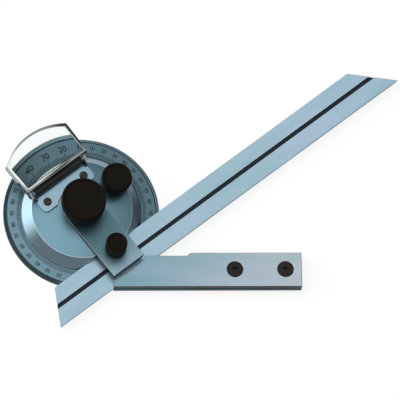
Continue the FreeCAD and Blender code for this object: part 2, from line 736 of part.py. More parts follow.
def knob(name, bottom, neck_radius, neck_height, head_radius, head_height, bore, bore_height,
         flutes):
    """Moulded knob: neck, wider head with bevelled rims, sunk face, bore and grip flutes."""
    shoulder = bottom + neck_height
    top = shoulder + head_height
    bevel = size.knob_bevel
    dish = head_radius - size.knob_rim
    body = turned_body(name, [
        (0, bottom + bore_height),
        (bore, bottom + bore_height),
        (bore, bottom),
        (neck_radius, bottom),
        (neck_radius, shoulder),
        (head_radius - bevel, shoulder),
        (head_radius, shoulder + bevel),
        (head_radius, top - bevel),
        (head_radius - bevel, top),
        (dish, top),
        (dish - size.knob_dish, top - size.knob_dish),
        (0, top - size.knob_dish)])
    flute = new_sketch(body, name + "Flute", lift=shoulder + bevel)
    foot = head_radius - size.flute_depth
    mouth = head_radius + size.flute_depth
    outline(flute, [(foot, 0), (mouth, -(mouth - foot)), (mouth, mouth - foot)])
    first = pocket(body, flute, head_height - bevel * 2)
    doc.recompute()
    pattern = body.newObject("PartDesign::PolarPattern", name + "Flutes")
    pattern.Originals = [first]
    axis = next(item for item in body.Origin.OriginFeatures if item.Role == "Z_Axis")
    pattern.Axis = (axis, [""])
    pattern.Angle = 360.0
    bind(pattern, "Occurrences", flutes)
    body.Tip = pattern
    return body


def make_clamp_knob():
    """Centre clamp knob with its threaded insert."""
    body = knob("clamp_knob", clamp_bottom, size.clamp_neck_radius, size.clamp_neck_height,
                size.clamp_head_radius, size.clamp_head_height, size.clamp_insert_radius,
                size.clamp_insert_height, size.clamp_flutes)
    turn(body)
    keep(body, "clamp_knob")
    hole = size.thread_radius + size.running_clearance
    insert = turned_body("clamp_insert", [
        (hole, clamp_bottom),
        (size.clamp_insert_radius, clamp_bottom),
        (size.clamp_insert_radius, clamp_bottom + size.clamp_insert_height),
        (hole, clamp_bottom + size.clamp_insert_height)])
    turn(insert)
    keep(insert, "clamp_insert")


def make_bush():
    """Flanged bush that carries the pinion shaft in the turret's top."""
    hole = size.pinion_shaft_radius + size.running_clearance
    body = turned_body("pinion_bush", [
        (hole, pinion_top + size.bush_clearance),
        (size.bush_radius, pinion_top + size.bush_clearance),
        (size.bush_radius, hub_top),
        (size.bush_flange_radius, hub_top),
        (size.bush_flange_radius, bush_top),
        (hole, bush_top)])
    turn(body, pinion_across, size.pinion_drop)
    keep(body, "pinion_bush")


def make_pinion():
    """Pinion and shaft in one piece, with a tooth space towards the fixed gear's tooth."""
    teeth = int(size.pinion_teeth.number)
    own_angle = pinion_angle() - math.radians(size.rest_angle.number)
    face = gear_face(teeth, own_angle + math.pi + math.pi / teeth)
    pinion = face.extrude(Vector(0, 0, size.pinion_thickness.number))
    pinion.translate(Vector(0, 0, pinion_bottom.number))
    shaft_top = fine_top.number - size.knob_cover.number
    shaft = Part.makeCylinder(size.pinion_shaft_radius.number,
                              shaft_top - pinion_top.number, Vector(0, 0, pinion_top.number))
    feature = doc.addObject("Part::Feature", "pinion_shaft")
    feature.Shape = pinion.fuse(shaft).removeSplitter()
    turn(feature, pinion_across, size.pinion_drop)
    keep(feature, "pinion_shaft")


def make_fine_knob():
    """Knob on the pinion shaft for the fine adjustment."""
    bore_height = fine_top - size.knob_cover - fine_bottom
    body = knob("fine_knob", fine_bottom, size.fine_neck_radius, size.fine_neck_height,
                size.fine_head_radius, size.fine_head_height, size.pinion_shaft_radius,
                bore_height, size.fine_flutes)
    turn(body, pinion_across, size.pinion_drop)
    keep(body, "fine_knob")


def make_lock_knob():
    """Blade clamp: a small knob on a screw through the arm."""
    bore_height = lock_top - size.knob_cover - lock_bottom
    body = knob("lock_knob", lock_bottom, size.lock_neck_radius, size.lock_neck_height,
                size.lock_head_radius, size.lock_head_height, size.lock_screw_radius,
                bore_height, size.lock_flutes)
    turn(body, 0, -lock_offset)
    keep(body, "lock_knob")
    foot = hub_top - size.shoe_socket_depth + size.stack_gap
    screw = rod("lock_screw", size.lock_screw_radius, 0, lock_bottom + bore_height - foot)
    turn(screw, 0, -lock_offset, foot)
    keep(screw, "lock_screw")


def make_shoe():
    """Clamp shoe under the arm, with a key that runs in the blade's groove."""
    body = new_body("clamp_shoe")
    top = hub_top - size.stack_gap
    block = new_sketch(body, "ShoeOutline", lift=front_bottom)
    half = size.shoe_half_length
    outline(block, [(-half, -shoe_far), (half, -shoe_far),
                    (half, -shoe_near), (-half, -shoe_near)])
    pad(body, block, top - front_bottom)
    key_half = size.groove_width / 2 - size.key_clearance
    key_bottom = blade_top - size.groove_depth + size.key_clearance
    key = new_sketch(body, "ShoeKey", lift=key_bottom)
    outline(key, [(-half, -groove_middle - key_half), (half, -groove_middle - key_half),
                  (half, -groove_middle + key_half),
                  (-half, -groove_middle + key_half)])
    pad(body, key, front_bottom - key_bottom)
    socket = new_sketch(body, "ShoeSocket", lift=hub_top - size.shoe_socket_depth)
    circle(socket, 0, -lock_offset, size.lock_screw_radius + size.running_clearance)
    pocket(body, socket, size.shoe_socket_depth)
    turn(body)
    keep(body, "clamp_shoe")


def make_blade():
    """Blade with a 60 degree tail, a 45 degree point and a groove along its middle."""
    body = new_body("blade")
    tail_cut = size.blade_width * cosine(size.blade_tail_angle) / sine(size.blade_tail_angle)
    point_cut = size.blade_width * cosine(size.blade_point_angle) / sine(size.blade_point_angle)
    inner = -size.blade_offset
    outer = -(size.blade_offset + size.blade_width)
    tail = -size.blade_tail
    point = size.blade_length - size.blade_tail
    sketch = new_sketch(body, "BladeOutline", lift=blade_bottom)
    outline(sketch, [(tail, outer), (point, outer), (point - point_cut, inner),
                     (tail + tail_cut, inner)])
    pad(body, sketch, size.blade_thickness)
    groove = new_sketch(body, "BladeGroove", lift=blade_top - size.groove_depth)
    low = -groove_middle - size.groove_width / 2
    high = -groove_middle + size.groove_width / 2
    outline(groove, [(tail, low), (point, low), (point, high), (tail, high)])
    pocket(body, groove, size.groove_depth)
    turn(body)
    keep(body, "blade")


def make_bracket():
    """Sheet bracket: two lobes on the turret and two upturned ears for the hinge pin."""
    body = new_body("magnifier_bracket")
    arc = size.bracket_arc_radius
    lobe_inner = on_circle(arc, size.bracket_lobe_end)
    wide, back = size.bracket_half_width, size.bracket_back
    end, corner = size.bracket_lobe_end, size.bracket_corner
    plate = new_sketch(body, "BracketPlate", lift=hub_top)
    outline(plate, [(wide, back), (-wide, back),
                    (-wide, end + corner, corner, 1), (-(wide - corner), end),
                    (-lobe_inner, end, arc, -1), (lobe_inner, end),
                    (wide - corner, end, corner, 1), (wide, end + corner)])
    pad(body, plate, size.bracket_thickness)
    inner_face = size.bracket_half_width - size.ear_thickness
    for number, lift in enumerate((inner_face, -size.bracket_half_width), start=1):
        ear = new_sketch(body, "Ear%d" % number, "YZ_Plane", lift=lift)
        outline(ear, ear_corners())
        pad(body, ear, size.ear_thickness)
        eye = new_sketch(body, "EarEye%d" % number, "YZ_Plane", lift=lift)
        circle(eye, size.hinge_back, hinge_height, size.pin_radius)
        pocket(body, eye, size.ear_thickness)
    holes = new_sketch(body, "BracketHoles", lift=hub_top)
    for side_sign in (-1, 1):
        circle(holes, size.bracket_screw_side * side_sign, size.bracket_screw_back,
               size.bracket_screw_radius)
    pocket(body, holes, size.bracket_thickness)
    turn(body)
    keep(body, "magnifier_bracket")


def ear_corners():
    """Upright ear with a round end about the hinge pin."""
    back, height, radius = size.hinge_back, hinge_height, size.ear_radius
    return [(size.ear_front, hub_top),
            (size.bracket_back, hub_top),
            (back + radius, height, radius, 1),
            (back, height + radius, radius, 1),
            (back - radius, height)]


def make_bracket_screw(number, side):
    """Pan head screw with a cross recess."""
    name = "bracket_screw_%d" % number
    head = size.bracket_screw_head
    head_top = bracket_top + size.bracket_screw_head_height
    foot = bracket_top - size.bracket_screw_length
    body = turned_body(name, [
        (0, foot),
        (size.bracket_screw_radius, foot),
        (size.bracket_screw_radius, bracket_top),
        (head, bracket_top),
        (head, head_top - size.bracket_screw_head_height / 2),
        (head - size.bracket_screw_head_height / 2, head_top),
        (0, head_top)])
    half_width, half_length = size.cross_width / 2, size.cross_length / 2
    recess = new_sketch(body, "Recess%d" % number, lift=head_top - size.cross_depth)
    outline(recess, [(half_length, -half_width), (half_length, half_width),
                     (half_width, half_width), (half_width, half_length),
                     (-half_width, half_length), (-half_width, half_width),
                     (-half_length, half_width), (-half_length, -half_width),
                     (-half_width, -half_width), (-half_width, -half_length),
                     (half_width, -half_length), (half_width, -half_width)])
    pocket(body, recess, size.cross_depth)
    turn(body, size.bracket_screw_side * side, size.bracket_screw_back)
    keep(body, name)


def lying_rod(name, radius, half_length, bore=None):
    """A rod or tube along the hinge axis."""
    body = new_body(name)
    sketch = new_sketch(body, name + "Section", "YZ_Plane", lift=-half_length)
    circle(sketch, size.hinge_back, hinge_height, radius)
    if bore is not None:
        circle(sketch, size.hinge_back, hinge_height, bore)
    pad(body, sketch, half_length * 2)
    turn(body)
    keep(body, name)


def make_hinge():
    """Hinge pin held in the ears, and the dark sleeve between them."""
    lying_rod("hinge_pin", size.pin_radius, leg_outside + size.pin_end)
    inner_face = size.bracket_half_width - size.ear_thickness - size.leg_gap
    lying_rod("hinge_sleeve", size.sleeve_radius, inner_face, size.pin_radius)


def frame_corners(inset):
    """Magnifier frame's outline, drawn in by the wall for its inside."""
    outer_near_half = leg_outside + size.frame_side
    outer_shoulder_half = outer_near_half + size.frame_flare
    near_half = outer_near_half - inset
    shoulder_half = outer_shoulder_half - inset
    arc = size.frame_arc_radius - inset
    near = frame_near + inset
    shoulder = (frame_near + size.frame_depth
                - on_circle(size.frame_arc_radius, outer_shoulder_half)
                + on_circle(arc, shoulder_half))
    return [(near_half, near),
            (shoulder_half, shoulder, arc, 1),
            (-shoulder_half, shoulder),
            (-near_half, near)]


def make_frame():
    """Chromed frame round the lens, with two legs down to the hinge pin."""
    body = new_body("lens_frame")
    wall = new_sketch(body, "FrameWall", lift=frame_bottom)
    outline(wall, frame_corners(formula(0.0)))
    outline(wall, frame_corners(size.frame_wall))
    pad(body, wall, size.frame_height)
    bevel_top(body, frame_top, size.frame_bevel)
    inner = size.bracket_half_width + size.leg_gap
    for number, lift in enumerate((inner, -(inner + size.leg_thickness)), start=1):
        leg = new_sketch(body, "Leg%d" % number, "YZ_Plane", lift=lift)
        outline(leg, leg_corners())
        pad(body, leg, size.leg_thickness)
        eye = new_sketch(body, "LegEye%d" % number, "YZ_Plane", lift=lift)
        circle(eye, size.hinge_back, hinge_height, size.pin_radius + size.running_clearance)
        pocket(body, eye, size.leg_thickness)
    turn(body)
    keep(body, "lens_frame")


def leg_corners():
    """Leg from the frame's near wall down round the hinge pin."""
    back, height, radius = size.hinge_back, hinge_height, size.ear_radius
    top = frame_bottom + size.frame_height / 2
    return [(back - radius, height, radius, 1),
            (back, height - radius, radius, 1),
            (back + radius, height),
            (frame_near + size.frame_wall, frame_bottom),
            (frame_near + size.frame_wall, top),
            (frame_near, top),
            (frame_near, frame_bottom)]


def make_lens():
    """Lens, convex on both faces, cut to the inside of the frame. The two balls that shape it
    lie on their sides, with their poles and seams away from it."""
    blank = doc.addObject("Sketcher::SketchObject", "LensBlank")
    outline(blank, frame_corners(size.frame_wall))
    middle = frame_bottom + size.frame_height / 2
    bind(blank, "Placement.Base.z", middle - size.lens_thickness)
    slab = doc.addObject("Part::Extrusion", "LensSlab")
    slab.Base = blank
    slab.Dir = Vector(0, 0, 1)
    slab.DirMode = "Custom"
    slab.Solid = True
    bind(slab, "LengthFwd", size.lens_thickness * 2)
    balls = []
    for number, side in enumerate((-1, 1), start=1):
        ball = doc.addObject("Part::Sphere", "LensBall%d" % number)
        ball.Placement = Placement(Vector(), Rotation(Vector(0, 0, 1), Vector(-side, 0, 0)))
        bind(ball, "Radius", size.lens_curve_radius)
        bind(ball, "Placement.Base.y", frame_near + size.lens_depth)
        shift = (size.lens_curve_radius - size.lens_thickness / 2) * side
        bind(ball, "Placement.Base.z", middle + shift)
        balls.append(ball)
    lens = doc.addObject("Part::MultiCommon", "lens")
    lens.Shapes = [slab] + balls
    turn(lens)
    keep(lens, "lens")


def write_parts():
    """Check every object, then write one STEP file for each piece."""
    doc.recompute()
    faults = [item.Name for item in doc.Objects
              if "Invalid" in item.State or "Error" in item.State]
    for part in parts:
        if part.Shape.isNull() or not part.Shape.isValid() or len(part.Shape.Solids) != 1:
            faults.append(part.Label)
    if faults:
        raise RuntimeError("failed objects: " + ", ".join(faults))
    os.makedirs("parts", exist_ok=True)
    for part in parts:
        part.Shape.exportStep(os.path.join("parts", part.Label + ".step"))
        print("%-20s volume %9.2f mm3" % (part.Label, part.Shape.Volume))


make_dial_body()
make_scale_ring()
make_stock_spacer()
make_stock_front()
for number, place in enumerate(stock_screws, start=1):
    make_stock_screw(number, place)
make_spindle()
make_fixed_gear()
make_hub()
make_vernier()
make_arm()
for number, side in enumerate((-1, 1), start=1):
    make_arm_screw(number, side)
make_washer()
make_clamp_knob()
make_bush()
make_pinion()
make_fine_knob()
make_lock_knob()
make_shoe()
make_blade()
make_bracket()
for number, side in enumerate((-1, 1), start=1):
    make_bracket_screw(number, side)
make_hinge()
make_frame()
make_lens()
write_parts()
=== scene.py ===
import json
import math

import bmesh
import bpy
from mathutils import Matrix, Vector


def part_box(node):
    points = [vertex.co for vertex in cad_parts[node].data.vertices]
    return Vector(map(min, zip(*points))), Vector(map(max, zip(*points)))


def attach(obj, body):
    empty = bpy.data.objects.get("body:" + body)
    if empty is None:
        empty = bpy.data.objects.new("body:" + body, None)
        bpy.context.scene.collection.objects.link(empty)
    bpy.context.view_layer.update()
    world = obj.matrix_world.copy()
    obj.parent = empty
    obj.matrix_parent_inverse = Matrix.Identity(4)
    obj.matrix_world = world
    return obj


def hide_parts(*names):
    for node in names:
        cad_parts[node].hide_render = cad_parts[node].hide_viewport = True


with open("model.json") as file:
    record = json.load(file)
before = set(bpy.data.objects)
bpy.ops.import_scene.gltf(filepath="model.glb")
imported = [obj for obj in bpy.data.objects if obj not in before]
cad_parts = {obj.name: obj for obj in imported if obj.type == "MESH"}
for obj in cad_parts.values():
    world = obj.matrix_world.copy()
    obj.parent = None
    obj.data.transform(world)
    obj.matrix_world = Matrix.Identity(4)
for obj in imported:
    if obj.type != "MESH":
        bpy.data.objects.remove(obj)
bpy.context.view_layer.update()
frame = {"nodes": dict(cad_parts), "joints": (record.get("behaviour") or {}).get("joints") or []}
MM = 0.001

# Camera. A long lens at the photograph's angle: from the near side and a little to the left,
# steeply down, and rolled so that the stock lies level in the picture.
view_azimuth = math.radians(-102.79)
view_elevation = math.radians(71.03)
view_roll = math.radians(12.01)
view_distance = 6.0
pixels_per_metre = 2151.4
frame_pixels = 400
aim = Vector((55.37, 6.36, 2.4)) * MM

towards = Vector((math.cos(view_elevation) * math.cos(view_azimuth),
                  math.cos(view_elevation) * math.sin(view_azimuth),
                  math.sin(view_elevation)))
level_right = Vector((0, 0, 1)).cross(towards).normalized()
level_up = towards.cross(level_right)
right = level_right * math.cos(view_roll) + level_up * math.sin(view_roll)
up = level_up * math.cos(view_roll) - level_right * math.sin(view_roll)
camera = bpy.data.objects.new("photo_camera", bpy.data.cameras.new("photo_camera"))
bpy.context.scene.collection.objects.link(camera)
camera.matrix_world = (Matrix.Translation(aim + towards * view_distance)
                       @ Matrix((right, up, towards)).transposed().to_4x4())
camera.data.lens = camera.data.sensor_width * pixels_per_metre * view_distance / frame_pixels
bpy.context.scene.camera = camera
bpy.context.scene.view_settings.view_transform = "Standard"

# Bench. A plain pale bench under the tool, nearly white where it is seen directly, in metal or
# through glass. For all other light it is a matt surface that takes the tool's shadow, and it
# is clear from below.
bench_colour = (0.93, 0.94, 0.95)
bench_half_width = 4.0
bench_drop = 0.05 * MM
bench_glow = 0.86


class Socket:
    """A shader socket that takes part in sums, products and other nodes' inputs."""

    def __init__(self, tree, socket):
        self.tree = tree
        self.socket = socket

    def maths(self, operation, *others):
        node = self.tree.nodes.new("ShaderNodeMath")
        node.operation = operation
        for place, value in zip(node.inputs, (self, *others)):
            feed(self.tree, place, value)
        return Socket(self.tree, node.outputs[0])

    def __add__(self, other):
        return self.maths("ADD", other)

    def __mul__(self, other):
        return self.maths("MULTIPLY", other)

    def __sub__(self, other):
        return self.maths("SUBTRACT", other)

    def __rsub__(self, other):
        return (self * -1.0) + other

    def __truediv__(self, other):
        return self.maths("DIVIDE", other)

    def __pow__(self, other):
        return self.maths("POWER", other)

    __radd__ = __add__
    __rmul__ = __mul__

    def below(self, limit):
        """1 where this is less than the limit, 0 elsewhere."""
        return self.maths("LESS_THAN", limit)

    def size(self):
        """This without its sign."""
        return self.maths("ABSOLUTE")

    def clamped(self):
        """This, kept from 0 to 1."""
        return self.maths("MINIMUM", 1.0).maths("MAXIMUM", 0.0)


def feed(tree, place, value):
    """Link a socket to an input, or set the input's own value."""
    if isinstance(value, Socket):
        tree.links.new(value.socket, place)
    elif isinstance(value, tuple) and place.type == "RGBA":
        place.default_value = (*value, 1.0)
    else:
        place.default_value = value


class Finish:
    """The nodes of a material or of the room, with one method that adds any node."""

    def __init__(self, owner):
        owner.use_nodes = True
        self.owner = owner
        self.tree = owner.node_tree
        self.tree.nodes.clear()

    def node(self, kind, settings=None, inputs=None, output=0):
        """Add a node with its settings and its inputs' values or links; gives one output."""
        node = self.tree.nodes.new("ShaderNode" + kind)
        for name, value in (settings or {}).items():
            setattr(node, name, value)
        for name, value in (inputs or {}).items():
            feed(self.tree, node.inputs[name], value)
        return Socket(self.tree, node.outputs[output])

    def spot(self):
        """Position on the part in metres, as a vector."""
        return self.node("TexCoord", output="Object")

    def vector(self, x, y, z):
        return self.node("CombineXYZ", inputs={"X": x, "Y": y, "Z": z})

    def parts(self, vector):
        """The x, y and z of a vector."""
        apart = self.node("SeparateXYZ", inputs={"Vector": vector})
        return [Socket(self.tree, part) for part in apart.socket.node.outputs]

    def vector_maths(self, operation, first, second=(0.0, 0.0, 0.0), output=0):
        return self.node("VectorMath", {"operation": operation}, {0: first, 1: second}, output)

    def turn(self, vector, kind, start, end):
        """A vector or normal taken from one space to another."""
        return self.node("VectorTransform", {"vector_type": kind, "convert_from": start,
                                             "convert_to": end}, {"Vector": vector})

    def true_normal(self):
        """Which way the surface really faces, without bump or rounding."""
        return self.node("NewGeometry", output="True Normal")

    def rounded(self, radius, samples=4):
        """The surface's normal with its edges shaded round."""
        return self.node("Bevel", {"samples": samples}, {"Radius": radius})

    def relief(self, height, normal, strength=0.12, depth=0.02 * MM):
        """The normal with a fine bump on it."""
        return self.node("Bump", inputs={"Strength": strength, "Distance": depth,
                                         "Height": height, "Normal": normal})

    def noise(self, vector, scale=1.0, detail=2.0, roughness=0.5):
        """Soft noise round 0.5; the vector may carry its own scales."""
        return self.node("TexNoise", inputs={"Vector": vector, "Scale": scale,
                                             "Detail": detail, "Roughness": roughness})

    def smooth(self, value, low, high):
        """0 up to the low value and 1 from the high one, with a soft change between."""
        return self.node("MapRange", {"interpolation_type": "SMOOTHSTEP"},
                         {"Value": value, "From Min": low, "From Max": high})

    def blend(self, mask, first, second):
        """First colour where the mask is 0, second where it is 1."""
        return self.node("Mix", {"data_type": "RGBA"},
                         {"Factor": mask, 6: first, 7: second}, output=2)

    def shaded(self, colour, shade):
        """The colour multiplied by a shade or by a second colour."""
        return self.node("Mix", {"data_type": "RGBA", "blend_type": "MULTIPLY"},
                         {"Factor": 1.0, 6: colour, 7: shade}, output=2)

    def blend_vectors(self, mask, first, second):
        """First vector where the mask is 0, second where it is 1."""
        return self.node("Mix", {"data_type": "VECTOR"},
                         {"Factor": mask, 4: first, 5: second}, output=1)

    def surface(self, **inputs):
        """The principled surface, with inputs named by their labels, linked to the output."""
        labelled = {name.replace("_", " "): value for name, value in inputs.items()}
        self.output(self.node("BsdfPrincipled", inputs=labelled))
        return self.owner

    def output(self, shader, kind="OutputMaterial"):
        out = self.tree.nodes.new("ShaderNode" + kind)
        self.tree.links.new(shader.socket, out.inputs["Surface"])


bench_mesh = bpy.data.meshes.new("bench")
bench_mesh.from_pydata([(x * bench_half_width, y * bench_half_width, -bench_drop)
                        for x, y in ((-1, -1), (1, -1), (1, 1), (-1, 1))], [], [(0, 1, 2, 3)])
bench = bpy.data.objects.new("bench", bench_mesh)
bpy.context.scene.collection.objects.link(bench)
finish = Finish(bpy.data.materials.new("bench"))
directly, in_metal, through_glass = [finish.node("LightPath", output=ray) for ray in (
    "Is Camera Ray", "Is Glossy Ray", "Is Transmission Ray")]
matt = finish.node("BsdfDiffuse", inputs={"Color": bench_colour})
glow = finish.node("Emission", inputs={"Color": (1.0, 1.0, 1.0), "Strength": 1.0})
shown = (directly + in_metal + through_glass).clamped() * bench_glow
above = finish.node("MixShader", inputs={0: shown, 1: matt, 2: glow})
clear = finish.node("BsdfTransparent")
underneath = finish.node("NewGeometry", output="Backfacing")
finish.output(finish.node("MixShader", inputs={0: underneath, 1: above, 2: clear}))
bench_mesh.materials.append(finish.owner)

# Studio. A low soft box at the left and a high one at the upper left. The room has a bright left
# wall, a pale ceiling and dim upper walls, and two dark curtains, behind on the right and high
# on the right, that set off the steel's edges and slopes.
wall_glow = 2.2
ceiling_glow = 1.0
upper_wall_glow = 0.32
room_glow = 0.035


def soft_lamp(name, place, target, width, power):
    """A square white soft box. Metal and glass show the room, not the box."""
    lamp = bpy.data.lights.new(name, "AREA")
    lamp.size = width
    lamp.energy = power
    holder = bpy.data.objects.new(name, lamp)
    bpy.context.scene.collection.objects.link(holder)
    holder.location = place
    aim_way = (Vector(target) - Vector(place)).normalized()
    holder.rotation_euler = aim_way.to_track_quat("-Z", "Y").to_euler()
    holder.visible_glossy = False
    holder.visible_transmission = False


soft_lamp("window_lamp", place=(-0.9, 0.2, 0.42), target=(0.02, 0, 0), width=0.5, power=6.0)
soft_lamp("ceiling_lamp", place=(-0.35, 0.45, 1.3), target=(0.05, 0, 0), width=0.7, power=9.0)

room = bpy.data.worlds.new("studio_room")
bpy.context.scene.world = room
finish = Finish(room)
room_way = finish.node("TexCoord", output="Generated")


def patch(centre, outer, inner):
    """1 in the middle of a soft round patch of the room, fading to 0 at its outer edge."""
    nearness = finish.vector_maths("DOT_PRODUCT", room_way, centre, output=1)
    return finish.smooth(nearness, outer, inner)


left_wall = patch((-0.94, 0.34, 0.05), outer=0.78, inner=0.985)
ceiling = patch((-0.20, 0.10, 0.97), outer=0.72, inner=0.99)
dark_curtains = (patch((0.55, 0.70, 0.45), outer=0.84, inner=0.95)
                 + patch((0.45, -0.19, 0.87), outer=0.93, inner=0.98))
upper_walls = patch((0.0, 0.0, 1.0), outer=0.12, inner=0.40) * (1.0 - dark_curtains)
shade = (left_wall * wall_glow + ceiling * ceiling_glow + upper_walls * upper_wall_glow
         + room_glow)
finish.output(finish.node("Background", inputs={"Color": shade, "Strength": 1.0}),
              "OutputWorld")

# Dial body. Round steel disc, turned, with the stock's rear plate in one piece. It has a satin
# finish and a bevelled rim, with painted shade on the rim's far side from the stock and on its
# upright faces, and it carries the scale ring, the spindle and the stock.
steel_colour = (0.22, 0.36, 0.42)
rim_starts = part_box("scale_ring")[1].x + 0.15 * MM
rim_width = 1.3 * MM
# Painted shade on the rim: its middle, its start and fade, and how deep it darkens, a depth
# shared with the scale ring's dark edge line.
rim_shade_middle = math.radians(205)
rim_shade_starts, rim_shade_fades_over = 0.2, 0.55
darkening_depth = 0.85
level_rise = 0.95  # a face that rises more than this is level
upright_rise = 0.35  # and one that rises less than this is upright
# How dark the painted shade on upright faces is.
side_shade_depth = 0.94
cloud_scale, grain_scale = 90.0, 6000.0
cloud_swing, grain_swing = 0.16, 0.22
cloud_gloss, grain_gloss = 0.10, 0.08
turned_outwards, turned_down = 5200.0, 2600.0
ground_along, ground_across = 55.0, 4200.0
patch_along, patch_across = 22.0, 110.0
patch_starts, patch_sharpness = 0.36, 3.6
bluer_tint, greener_tint = (1.07, 1.02, 1.05), (0.86, 0.95, 0.93)
rounding = 0.12 * MM
# A painted highlight along the edges: its colour, width and sharpness.
edge_highlight_colour = (0.90, 0.95, 0.98)
edge_highlight_width = 0.45 * MM
edge_highlight_sharpness = 16.0


def dress(material, *nodes):
    """Give CAD nodes one material in place of their plain one."""
    for node in nodes:
        mesh = frame["nodes"][node].data
        mesh.materials.clear()
        mesh.materials.append(material)


def varied(middle, *swings):
    """A value that swings about its middle with noises; each swing is (noise, width)."""
    value = middle
    for noise, width in swings:
        value = value + (noise - 0.5) * width
    return value


def mottled(finish, colour, way, over):
    """The colour with long soft patches of a bluer and a greener tint in it."""
    patches = finish.noise(finish.vector(way * patch_along, over * patch_across, 0.0),
                           detail=3.0, roughness=0.6)
    share = ((patches - patch_starts) * patch_sharpness).clamped()
    return finish.shaded(colour, finish.blend(share, bluer_tint, greener_tint))


def rise_of(finish):
    """How far the true surface faces up or down on the part, from 0 to 1."""
    return finish.parts(finish.turn(finish.true_normal(), "NORMAL", "WORLD", "OBJECT"))[2].size()


def leaned(finish, normal, push):
    """A normal pushed over by three amounts along the part's own x, y and z."""
    push = finish.turn(finish.vector(*push), "VECTOR", "OBJECT", "WORLD")
    return finish.vector_maths("NORMALIZE", finish.vector_maths("ADD", normal, push))


def satin(name, colour, roughness, lines, along=None, crown=0.0, darker=None, painted_gradient=None,
          side_shade_below=0.0, slope_sheen_colour=None, slope_gloss=0.0, slope_lift=0.0, edge_highlight=0.0):
    """Satin steel: fine grain, faint clouds, and lines turned about the spindle or, where
    along gives their angle, ground straight. Lines is their share of the grain.
    Crown leans the shading of level faces outwards, as on a turned face that is a little
    higher in the middle. Slope lift turns the shading of slopes up, as on a chamfer that is a
    little rounded. Slopes may have a paler colour of their own, which is a painted sheen, and
    more gloss. Darker is a mask, from 0 to 1, where the steel is darkened: painted shade on the
    dial's rim, a dark line at the scale ring's edge. The painted gradient is a colour, and the
    two places along the lines between which the steel turns to it, as painted light or shade.
    Upright faces, which rise less than the given limit, get painted shade. The edge highlight is
    how much paler the steel is along its edges, a painted highlight."""
    finish = Finish(bpy.data.materials.new(name))
    spot = finish.spot()
    x, y, z = finish.parts(spot)
    rise = rise_of(finish)
    slope = rise.below(level_rise)
    cloud = finish.noise(spot, cloud_scale, detail=3.0)
    if along is None:
        radius = (x * x + y * y) ** 0.5
        tooled = finish.noise(finish.vector(radius * turned_outwards, z * turned_down, 0.0))
    else:
        way = x * math.cos(along) + y * math.sin(along)
        over = y * math.cos(along) - x * math.sin(along)
        tooled = finish.noise(finish.vector(way * ground_along, over * ground_across,
                                            z * ground_across), detail=3.0)
    grain = finish.noise(spot, grain_scale, detail=1.0) * (1.0 - lines) + tooled * lines
    tone = varied(1.0, (cloud, cloud_swing), (grain, grain_swing))
    if darker:
        tone = tone * (1.0 - darker(x, y) * darkening_depth)
    # Painted shade on upright faces.
    if side_shade_below:
        tone = tone * (1.0 - rise.below(side_shade_below) * side_shade_depth)
    # A painted gradient of light or shade along the lines.
    if painted_gradient:
        end_colour, starts, ends = painted_gradient
        share = finish.smooth(way, starts, ends)
        colour = mottled(finish, finish.blend(share, colour, end_colour), way, over)
    # Painted sheen on slopes.
    if slope_sheen_colour:
        colour = finish.blend(slope, colour, slope_sheen_colour)
    # A painted highlight along the edges.
    if edge_highlight:
        near_edge = finish.rounded(edge_highlight_width, samples=6)
        bend = 1.0 - finish.vector_maths("DOT_PRODUCT", near_edge, finish.true_normal(),
                                         output=1)
        edge_glint = (bend * edge_highlight_sharpness).clamped() * edge_highlight
        colour = finish.blend(edge_glint, colour, edge_highlight_colour)
    facing = finish.rounded(rounding)
    if crown or slope_lift:
        outwards = (1.0 - slope) * crown
        upwards = (slope - rise.below(upright_rise)) * slope_lift
        facing = leaned(finish, facing, (x * outwards, y * outwards, upwards))
    gloss = varied(roughness, (cloud, cloud_gloss), (grain, grain_gloss))
    if slope_gloss:
        gloss = gloss - slope * slope_gloss
    return finish.surface(Base_Color=finish.shaded(colour, tone), Metallic=1.0,
                          Normal=finish.relief(grain, facing), Roughness=gloss)


def on_rim(x, y):
    """1 on the disc's rim where shade is painted on it, fading to 0 at the sides; 0 everywhere
    inside the rim and on the stock."""
    radius = (x * x + y * y) ** 0.5
    rim = (1.0 - radius.below(rim_starts)) * radius.below(rim_starts + rim_width)
    ahead = (x * math.cos(rim_shade_middle) + y * math.sin(rim_shade_middle)) / radius
    return rim * ((ahead - rim_shade_starts) / rim_shade_fades_over).clamped()


dial_steel = satin("dial_steel", steel_colour, roughness=0.42, lines=0.5, crown=3.0,
                   darker=on_rim, side_shade_below=upright_rise, slope_lift=1.5)
dress(dial_steel, "dial_body")

# Scale ring. Steel ring let into the dial, matt so that the black filled graduations read
# clearly: one line for each degree, longer at five and ten, figures at every ten, and a thin
# dark line round the edge.
ring_colour = (0.175, 0.295, 0.355)
ring_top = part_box("scale_ring")[1].z
edge_line = 0.5 * MM
engraving_colours = (0.012, 0.016, 0.018), (0.03, 0.036, 0.038)
mark_lift = 0.012 * MM
mark_root = 28.5 * MM
mark_length = {1: 1.6 * MM, 5: 2.0 * MM, 10: 2.4 * MM}
mark_width = 0.21 * MM
zero_direction = 90
figure_radius = 32.2 * MM
figure_size = 2.5 * MM
figure_weight = 0.045 * MM


def at_ring_edge(x, y):
    """1 on the dark line round the scale ring."""
    return 1.0 - ((x * x + y * y) ** 0.5).below(rim_starts - edge_line)


ring_steel = satin("ring_steel", ring_colour, roughness=0.45, lines=0.4, crown=4.2,
                   darker=at_ring_edge)
dress(ring_steel, "scale_ring")
finish = Finish(bpy.data.materials.new("engraving_black"))
patchy = finish.noise(finish.spot(), scale=2500.0)
engraving = finish.surface(Base_Color=finish.blend(patchy, *engraving_colours),
                           Specular_IOR_Level=0.1, Roughness=varied(0.6, (patchy, 0.2)))


def add_piece(name, mesh, material, body):
    """Turn a bmesh into a piece that rides on a body."""
    data = bpy.data.meshes.new(name)
    mesh.to_mesh(data)
    mesh.free()
    data.materials.append(material)
    piece = bpy.data.objects.new(name, data)
    bpy.context.scene.collection.objects.link(piece)
    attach(piece, body)
    return piece


